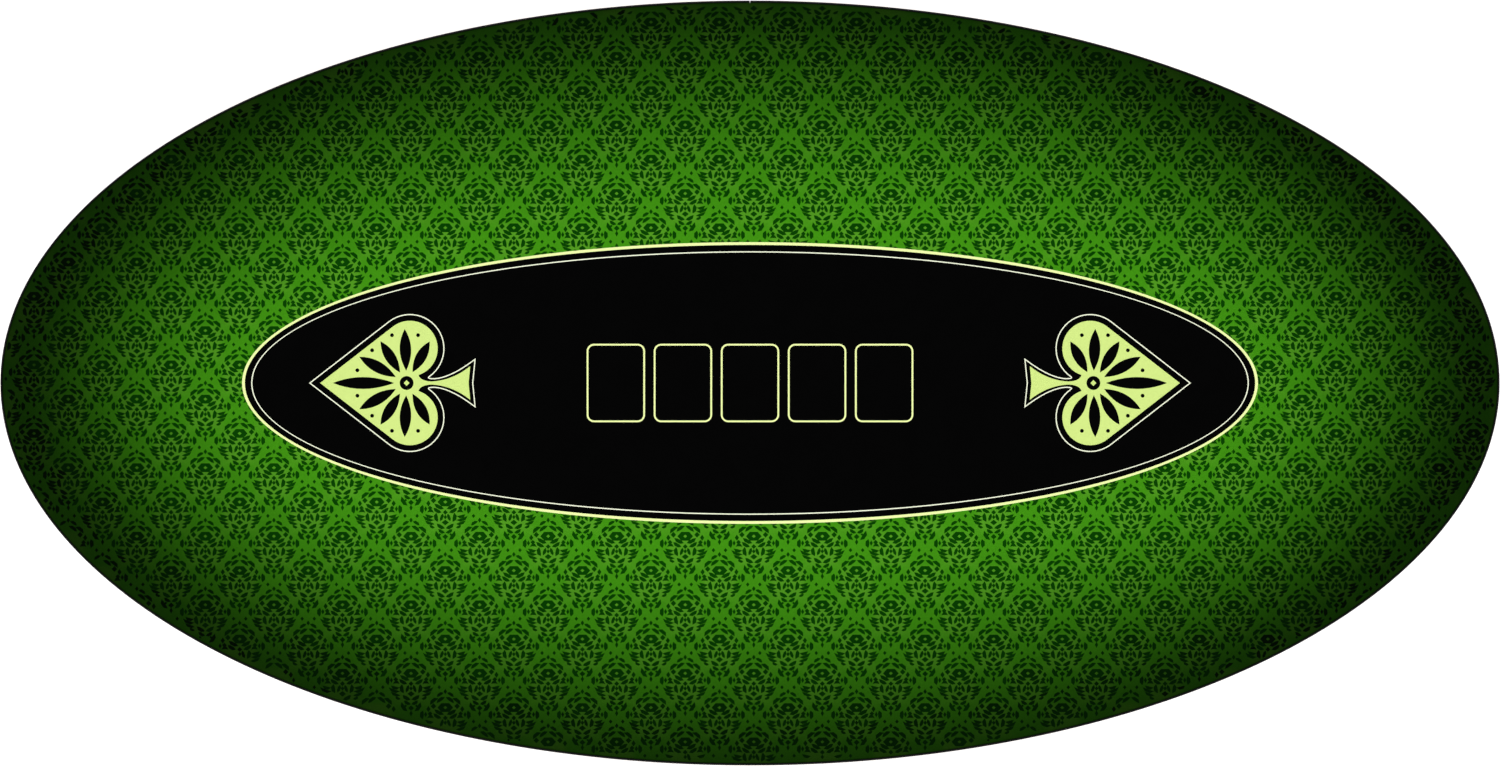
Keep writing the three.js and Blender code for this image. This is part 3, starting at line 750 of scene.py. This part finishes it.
def ground_material():
    """The printed green, paler under the sprigs and fading towards the rim."""
    graph = cloth_material("cloth_ground", GREEN)
    tint = graph.mix(sprig_ground(graph), GREEN, GREEN_UNDER_SPRIG)
    tint = graph.mix(1.0, tint, graph.grey(falloff(graph)), "MULTIPLY")
    threads = graph.ramp(graph.noise(420), 0.2, 0.8, 0.92, 1.08)
    tint = graph.mix(1.0, tint, graph.grey(threads), "MULTIPLY")
    graph.put(graph.shader.inputs["Base Color"], tint)
    return graph.material


def cloth_materials():
    """The cloth's materials, in the order of the inks."""
    materials = [
        ground_material(),
        cloth_material("cloth_black", (0.0008, 0.0008, 0.0008)).material,
        cloth_material("cloth_cream", (0.82, 0.91, 0.39)).material,
        cloth_material("cloth_fine_line", (0.89, 0.93, 0.72)).material,
        cloth_material("cloth_lime", (0.602, 0.765, 0.226)).material,
    ]
    for level in range(SHADES):
        fade = 1 - (level + 0.5) / SHADES
        colour = [channel * fade for channel in SPRIG_GREEN]
        materials.append(cloth_material(f"cloth_sprig_{level}", colour).material)
    return materials


def foam_material():
    """Grey closed-cell foam with fine pores."""
    graph = Graph("foam")
    pores = graph.noise(900, 2, 0.6)
    graph.put(graph.shader.inputs["Base Color"], graph.mix(pores, (0.07, 0.075, 0.08), (0.14, 0.145, 0.15)))
    graph.bump(pores, 0.4 * MM, 0.6)
    return graph.set(Roughness=0.95)


def vinyl_material():
    """Black vinyl with a pebbled grain, a little scuffed."""
    graph = Graph("black_vinyl")
    pebbles = graph.noise(620, 1, 0.4)
    creases = graph.ramp(pebbles, 0.4, 0.55, 0.0, 1.0, smooth=True)
    grain = graph.math("ADD", creases, graph.math("MULTIPLY", graph.noise(2400, 2), 0.35))
    scuff = graph.noise(26, 5, 0.6)
    black = graph.mix(scuff, (0.003, 0.003, 0.0033), (0.009, 0.009, 0.0095))
    graph.put(graph.shader.inputs["Base Color"], black)
    graph.put(graph.shader.inputs["Roughness"], graph.ramp(scuff, 0.3, 0.7, 0.36, 0.52))
    graph.bump(grain, 0.22 * MM, 0.8)
    graph.shader.inputs["Specular IOR Level"].default_value = 0.08
    return graph.material


def wood_material(name, light, dark, rings=9.0):
    """Planed or peeled wood with its grain along X: wide figure, fine fibres and short dark pores."""
    graph = Graph(name)
    warp = graph.noise(1.2, 3, 0.5, graph.scaled((0.7, 7.0, 7.0)))
    lines = graph.ramp(graph.math("SINE", graph.math("MULTIPLY", warp, rings * math.tau)), -1, 1, 0, 1)
    fibre = graph.noise(4.0, 5, 0.6, graph.scaled((5.0, 150.0, 150.0)))
    pores = graph.ramp(graph.noise(1.0, 1, 0.5, graph.scaled((60.0, 1500.0, 1500.0))), 0.62, 0.7, 0.0, 1.0)
    share = graph.math("ADD", graph.math("MULTIPLY", lines, 0.4), graph.math("MULTIPLY", fibre, 0.7))
    tint = graph.mix(graph.ramp(share, 0.25, 0.85, 0, 1), light, dark)
    tint = graph.mix(graph.math("MULTIPLY", pores, 0.45), tint, tuple(channel * 0.5 for channel in dark))
    graph.put(graph.shader.inputs["Base Color"], tint)
    graph.put(graph.shader.inputs["Roughness"], graph.ramp(fibre, 0.3, 0.7, 0.55, 0.75))
    graph.bump(graph.math("SUBTRACT", fibre, graph.math("MULTIPLY", pores, 0.5)), 0.2 * MM, 0.7)
    return graph.material


def powder_coat_material():
    """Satin black powder coat with a fine orange peel."""
    graph = Graph("black_powder_coat")
    peel = graph.noise(480, 2, 0.5)
    wear = graph.noise(9, 5, 0.6)
    graph.put(graph.shader.inputs["Base Color"], graph.mix(wear, (0.008, 0.008, 0.009), (0.02, 0.02, 0.021)))
    graph.put(graph.shader.inputs["Roughness"], graph.ramp(wear, 0.3, 0.7, 0.33, 0.46))
    graph.bump(peel, 0.3 * MM, 0.7)
    return graph.material


def zinc_material():
    """Bright zinc plate, clouded and faintly brushed."""
    graph = Graph("zinc_plate")
    cloud = graph.noise(40, 4, 0.6)
    brushed = graph.noise(300, 2, 0.5, graph.scaled((1.0, 1.0, 0.15)))
    graph.put(graph.shader.inputs["Base Color"], graph.mix(cloud, (0.52, 0.54, 0.56), (0.72, 0.73, 0.72)))
    graph.put(graph.shader.inputs["Roughness"], graph.ramp(brushed, 0.3, 0.7, 0.24, 0.4))
    graph.bump(brushed, 0.04 * MM, 0.4)
    return graph.set(Metallic=1.0)


def rubber_material():
    """Matt black rubber with a little dust."""
    graph = Graph("black_rubber")
    dust = graph.noise(55, 5, 0.6)
    graph.put(graph.shader.inputs["Base Color"], graph.mix(dust, (0.01, 0.01, 0.01), (0.028, 0.027, 0.026)))
    graph.bump(graph.noise(900, 2), 0.15 * MM, 0.5)
    return graph.set(Roughness=0.8)


def nylon_material():
    """Natural off-white nylon."""
    graph = Graph("natural_nylon")
    cloud = graph.noise(90, 3)
    graph.put(graph.shader.inputs["Base Color"], graph.mix(cloud, (0.62, 0.6, 0.52), (0.74, 0.72, 0.65)))
    graph.bump(graph.noise(700, 2), 0.05 * MM, 0.4)
    return graph.set(Roughness=0.42)


# ---- carried-over CAD pieces ----
def dress(names, material, bevel=BEVEL):
    """Gives CAD nodes a material, soft edges and smooth round faces."""
    for name in names:
        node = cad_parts[name]
        node.data.materials.clear()
        node.data.materials.append(material)
        node.data.attributes.remove(node.data.attributes["custom_normal"])
        node.data.polygons.foreach_set("use_smooth", [True] * len(node.data.polygons))
        weld = node.modifiers.new("weld", "WELD")
        weld.merge_threshold = CAD_MERGE_DISTANCE
        edge = node.modifiers.new("edge", "BEVEL")
        edge.width = bevel
        edge.segments = 2
        edge.limit_method = "ANGLE"
        edge.angle_limit = math.radians(EDGE_DEGREES)
        edge.harden_normals = True


def named(start):
    """The CAD nodes whose names start with some text."""
    return [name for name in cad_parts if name.startswith(start)]


def dress_frame():
    """Materials for the CAD nodes that stay: timber, coated steel, zinc and nylon."""
    dress(["top_panel"], wood_material("birch_ply", (0.62, 0.43, 0.24), (0.42, 0.26, 0.12)))
    softwood = wood_material("softwood", (0.66, 0.44, 0.22), (0.44, 0.24, 0.09), rings=14)
    dress(named("stiffener_rail"), softwood)
    coat = powder_coat_material()
    dress([*named("leg_tube"), *named("pivot_tube"), *named("crossbar"), *named("brace_lug_a"),
           *named("brace_lug_b")], coat)
    zinc = zinc_material()
    dress([*named("pivot_bracket"), *named("brace_bracket"), *named("brace_link"), *named("elbow_rivet"),
           *named("brace_lug_pin")], zinc, FINE_BEVEL)
    dress(named("pivot_bush"), nylon_material(), FINE_BEVEL)


# ---- detailed pieces of the leg frames ----
def bead(line, radius, closed):
    """Points and faces of a weld bead along a line, rippled as the welder's hand left it."""
    points, faces = [], []
    last = len(line) - 1
    for i, here in enumerate(line):
        before = line[i - 1] if i or closed else here
        after = line[(i + 1) % len(line)] if i < last or closed else here
        run = (after - before).normalized()
        side = run.cross(BEAD_ASIDE).normalized()
        up = run.cross(side)
        ripple = 1 + BEAD_RIPPLE * math.sin(i * math.tau / BEAD_RIPPLE_POINTS)
        end = 1 if closed else min(1, BEAD_END + BEAD_END_GROWTH * min(i, last - i))
        for step in range(BEAD_STEPS):
            angle = math.tau * step / BEAD_STEPS
            away = side * math.cos(angle) + up * math.sin(angle)
            points.append(here + away * radius * ripple * end)
    for i in range(len(line) if closed else last):
        here, there = i * BEAD_STEPS, (i + 1) % len(line) * BEAD_STEPS
        for step in range(BEAD_STEPS):
            after = (step + 1) % BEAD_STEPS
            faces.append((here + step, here + after, there + after, there + step))
    if not closed:
        faces.append(tuple(reversed(range(BEAD_STEPS))))
        faces.append(tuple(last * BEAD_STEPS + step for step in range(BEAD_STEPS)))
    return points, faces


def on_leg(centre, leg_y, side, across, along):
    """A point at a leg's surface, by its distances across and along the leg from a joint's centre."""
    reach = LEG_RADIUS + WELD_GAP
    y = leg_y + side * math.sqrt(reach * reach - across * across)
    return Vector((centre.x, y, centre.z)) + LEG_OUT * across + LEG_DOWN * along


def crossbar_ring(bar, leg_y, side):
    """The line of the weld round a crossbar's end."""
    centre = centre_of(f"crossbar_{bar}_a")
    radius = CROSSBAR_RADIUS + CROSSBAR_WELD_GAP
    ring = ellipse(radius, radius, CROSSBAR_WELD_STEPS)
    return [on_leg(centre, leg_y, side, across, along) for across, along in ring]


def pivot_arc(leg_y, side):
    """The line of the weld under the pivot tube, on one side of a leg."""
    radius = PIVOT_RADIUS + WELD_GAP
    line = arc((0, 0), radius, -PIVOT_WELD_DEGREES, PIVOT_WELD_DEGREES, PIVOT_WELD_STEPS)
    return [on_leg(LEG_PIVOT, leg_y, side, across, along) for along, across in line]


def place_weld(name, beads, end, turn, coat):
    """Joins some beads into one piece. A turn of -1 swings them round to the other end."""
    points, faces = [], []
    for bead_points, bead_faces in beads:
        first = len(points)
        points += [(turn * p.x, turn * p.y, p.z) for p in bead_points]
        faces += [tuple(first + i for i in face) for face in bead_faces]
    weld = new_object(name, points, faces, [coat])
    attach(weld, f"leg_frame_{end}")


def add_welds(end, turn, coat):
    """Weld beads where the pivot tube and the crossbars meet each leg of one frame."""
    for leg, inward in (("outer", -1), ("inner", 1)):
        leg_y = centre_of(f"leg_tube_{leg}_a").y
        for bar in ("upper", "lower"):
            ring = bead(crossbar_ring(bar, leg_y, inward), CROSSBAR_BEAD, True)
            place_weld(f"weld_{bar}_{leg}_{end}", [ring], end, turn, coat)
        arcs = [bead(pivot_arc(leg_y, side), PIVOT_BEAD, False) for side in (1, -1)]
        place_weld(f"weld_pivot_{leg}_{end}", arcs, end, turn, coat)


def foot_profile(radius):
    """(radius, height, whether level) of a cup's rings in millimetres, from its mouth to its sole."""
    dent = radius - RIB_DEEP_MM
    ribs = []
    for top in RIB_TOPS_MM:
        ribs += [(radius, top), (dent, top - 0.7), (dent, top - 2.0), (radius, top - 2.7)]
    raised = [
        (FOOT_BORE_MM, 8.0), (FOOT_BORE_MM, 37.0), (16.9, 38.0), (18.2, 38.0), (radius, 37.0),
        *ribs, (radius, 6.0),
    ]
    level = [(radius, 3.0), (radius - 0.4, 1.0), (radius - 1.5, 0.0), (12.0, 0.0), (11.0, 1.4)]
    return [(*ring, False) for ring in raised] + [(*ring, True) for ring in level]


def foot_cup(leg, end, turn, rubber):
    """A ribbed cup pushed over the leg, with a level sole that has a shallow hollow."""
    low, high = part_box(f"foot_cup_{leg}_a")
    heel = Vector((LEG_PIVOT.x, centre_of(f"foot_cup_{leg}_a").y, LEG_PIVOT.z))
    heel = heel - LEG_DOWN * (LEG_PIVOT.z / LEG_DOWN.z)
    points, rings = [], []
    for radius, height, is_level in foot_profile((high.y - low.y) / 2 / MM):
        rings.append(len(points))
        for step in range(FOOT_STEPS):
            angle = math.tau * step / FOOT_STEPS
            aside = LEG_OUT * math.cos(angle) + Vector((0, 1, 0)) * math.sin(angle)
            rim = heel + aside * radius * MM
            slide = (height * MM - rim.z) / LEG_DOWN.z if is_level else -height * MM
            rim = rim + LEG_DOWN * slide
            points.append((turn * rim.x, turn * rim.y, rim.z))
    faces = [tuple(reversed(range(FOOT_STEPS)))] + ring_faces(rings, FOOT_STEPS)
    faces.append(tuple(rings[-1] + step for step in range(FOOT_STEPS)))
    cup = new_object(f"ribbed_foot_{leg}_{end}", points, faces, [rubber])
    cup.data.set_sharp_from_angle(angle=math.radians(CREASE_DEGREES))
    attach(cup, f"leg_frame_{end}")
    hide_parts(f"foot_cup_{leg}_{end}")


def screw_recess():
    """The outline of a cross recess, in millimetres."""
    arm, reach = RECESS_ARM_MM, RECESS_REACH_MM
    return [
        (reach, -arm), (reach, arm), (arm, arm), (arm, reach), (-arm, reach), (-arm, arm),
        (-reach, arm), (-reach, -arm), (-arm, -arm), (-arm, -reach), (arm, -reach), (arm, -arm),
    ]


def screw_cap(crown):
    """Points and faces of a screw's flat end at a height, in millimetres, with its recess sunk in."""
    cross = screw_recess()
    outer = list(range(SCREW_STEPS))
    inner = list(range(SCREW_STEPS, SCREW_STEPS + len(cross)))
    outlines = [Vector(point) for point in ellipse(SCREW_CAP_MM, SCREW_CAP_MM, SCREW_STEPS) + cross]
    flat, _, cap, _, _, sources = delaunay_2d_cdt(outlines, [], [outer, inner], 1, 1e-6, True)
    points = [(p.x, p.y, crown) for p in flat]
    faces = [tuple(reversed(face)) for face, source in zip(cap, sources) if source == [0]]
    pit = len(points)
    points += [(x * RECESS_TAPER, y * RECESS_TAPER, crown + RECESS_DEEP_MM) for x, y in cross]
    for i in range(len(cross)):
        after = (i + 1) % len(cross)
        faces.append((SCREW_STEPS + i, SCREW_STEPS + after, pit + after, pit + i))
    faces.append(tuple(pit + i for i in reversed(range(len(cross)))))
    return points, faces


def screw_profile(head, crown, tip):
    """(radius, height) pairs from a screw's cap to its point, in millimetres."""
    seat = crown + SCREW_HEAD_MM
    profile = [
        (SCREW_CAP_MM, crown), (3.7, crown + 0.35), (4.2, crown + 1.0), (head, crown + 1.9),
        (head, seat), (THREAD_CREST_MM, seat),
    ]
    for thread in range(THREADS):
        rise = thread * THREAD_PITCH_MM
        profile += [(THREAD_ROOT_MM, seat + 1.0 + rise), (THREAD_CREST_MM, seat + 1.65 + rise)]
    return [*profile, (SCREW_POINT_MM, tip)]


def pan_screw(node, zinc):
    """A pan-head screw, head down, with a cross recess and a threaded shank."""
    low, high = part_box(node)
    middle = centre_of(node)
    points, faces = screw_cap(low.z / MM)
    rings = []
    for radius, height in screw_profile((high.x - low.x) / 2 / MM, low.z / MM, high.z / MM):
        rings.append(len(points))
        points += [(x, y, height) for x, y in ellipse(radius, radius, SCREW_STEPS)]
    faces += [tuple(reversed(face)) for face in ring_faces(rings, SCREW_STEPS)]
    faces.append(tuple(rings[-1] + i for i in range(SCREW_STEPS)))
    placed = [(middle.x + x * MM, middle.y + y * MM, z * MM) for x, y, z in points]
    screw = joined_edges(new_object("cross_" + node, placed, faces, [zinc]))
    screw.data.set_sharp_from_angle(angle=math.radians(CREASE_DEGREES))
    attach(screw, "top")
    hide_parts(node)


def add_details():
    """The welds, foot cups and screws."""
    coat, rubber, zinc = powder_coat_material(), rubber_material(), zinc_material()
    for end, turn in (("a", 1), ("b", -1)):
        add_welds(end, turn, coat)
        for leg in ("outer", "inner"):
            foot_cup(leg, end, turn, rubber)
    for node in named("bracket_screw") + named("brace_screw"):
        pan_screw(node, zinc)


# ---- stage ----
def make_floor():
    """A pale floor that glows a little, so that it stays white beside a soft shadow."""
    size = FLOOR_HALF
    corners = [(-size, -size, 0), (size, -size, 0), (size, size, 0), (-size, size, 0)]
    graph = Graph("floor")
    graph.shader.inputs["Emission Color"].default_value = (1, 1, 1, 1)
    graph.shader.inputs["Emission Strength"].default_value = FLOOR_GLOW
    material = graph.set(Base_Color=(0.85, 0.85, 0.85), Roughness=0.9)
    new_object("floor", corners, [(0, 1, 2, 3)], [material], smooth=False)


def area_light(name, place, size, power):
    """A round lamp that points at the table and is not seen itself."""
    lamp = bpy.data.lights.new(name, "AREA")
    lamp.shape = "DISK"
    lamp.size = size
    lamp.energy = power
    thing = bpy.data.objects.new(name, lamp)
    thing.location = place
    thing.rotation_euler = (Vector(LIGHT_TARGET) - Vector(place)).to_track_quat("-Z", "Y").to_euler()
    thing.visible_camera = False
    bpy.context.scene.collection.objects.link(thing)


def make_sky():
    """White at the horizon, dimmer in the low sky and bright overhead, as in a studio tent."""
    world = bpy.data.worlds.new("studio")
    bpy.context.scene.world = world
    world.use_nodes = True
    nodes, links = world.node_tree.nodes, world.node_tree.links
    coordinates = nodes.new("ShaderNodeTexCoord")
    axes = nodes.new("ShaderNodeSeparateXYZ")
    ramp = nodes.new("ShaderNodeValToRGB")
    steps = [(0.03, 1.0), (0.06, 0.36), (0.4, 0.4), (0.75, 0.95)]
    ramp.color_ramp.elements[0].position = 0.0
    ramp.color_ramp.elements[0].color = (1, 1, 1, 1)
    ramp.color_ramp.elements.remove(ramp.color_ramp.elements[1])
    for place, value in steps:
        ramp.color_ramp.elements.new(place).color = (value, value, value, 1)
    links.new(coordinates.outputs["Generated"], axes.inputs[0])
    links.new(axes.outputs["Z"], ramp.inputs["Fac"])
    links.new(ramp.outputs["Color"], nodes["Background"].inputs["Color"])


def make_lights():
    make_sky()
    area_light("key", KEY_PLACE, KEY_SIZE, KEY_WATTS)
    area_light("fill", FILL_PLACE, FILL_SIZE, FILL_WATTS)
    bpy.context.scene.view_settings.view_transform = "Standard"


def make_camera():
    """Straight above the table, with its outline touching the picture's edges."""
    camera = bpy.data.cameras.new("camera")
    camera.lens = LENS
    camera.sensor_width = SENSOR
    camera.clip_end = 100
    thing = bpy.data.objects.new("camera", camera)
    widest_height = MOULDING_HIGH.z - CAMERA_DROP
    thing.location = (0, 0, widest_height + 2 * HALF_LENGTH * LENS / SENSOR)
    bpy.context.scene.collection.objects.link(thing)
    bpy.context.scene.camera = thing


# ---- the table ----
def add_top():
    """The cloth, the foam under it and the moulding round them, in place of their plain solids."""
    cloth = joined_edges(make_cloth(cloth_materials()))
    foam = make_foam()
    moulding = make_moulding()
    for piece, node, slot in ((cloth, "playing_cloth", "cloth"), (foam, "foam_pad", "foam"),
                              (moulding, "edge_moulding", "vinyl")):
        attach(piece, "top")
        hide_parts(node)


def build():
    make_camera()
    make_lights()
    make_floor()
    add_top()
    dress_frame()
    add_details()


build()
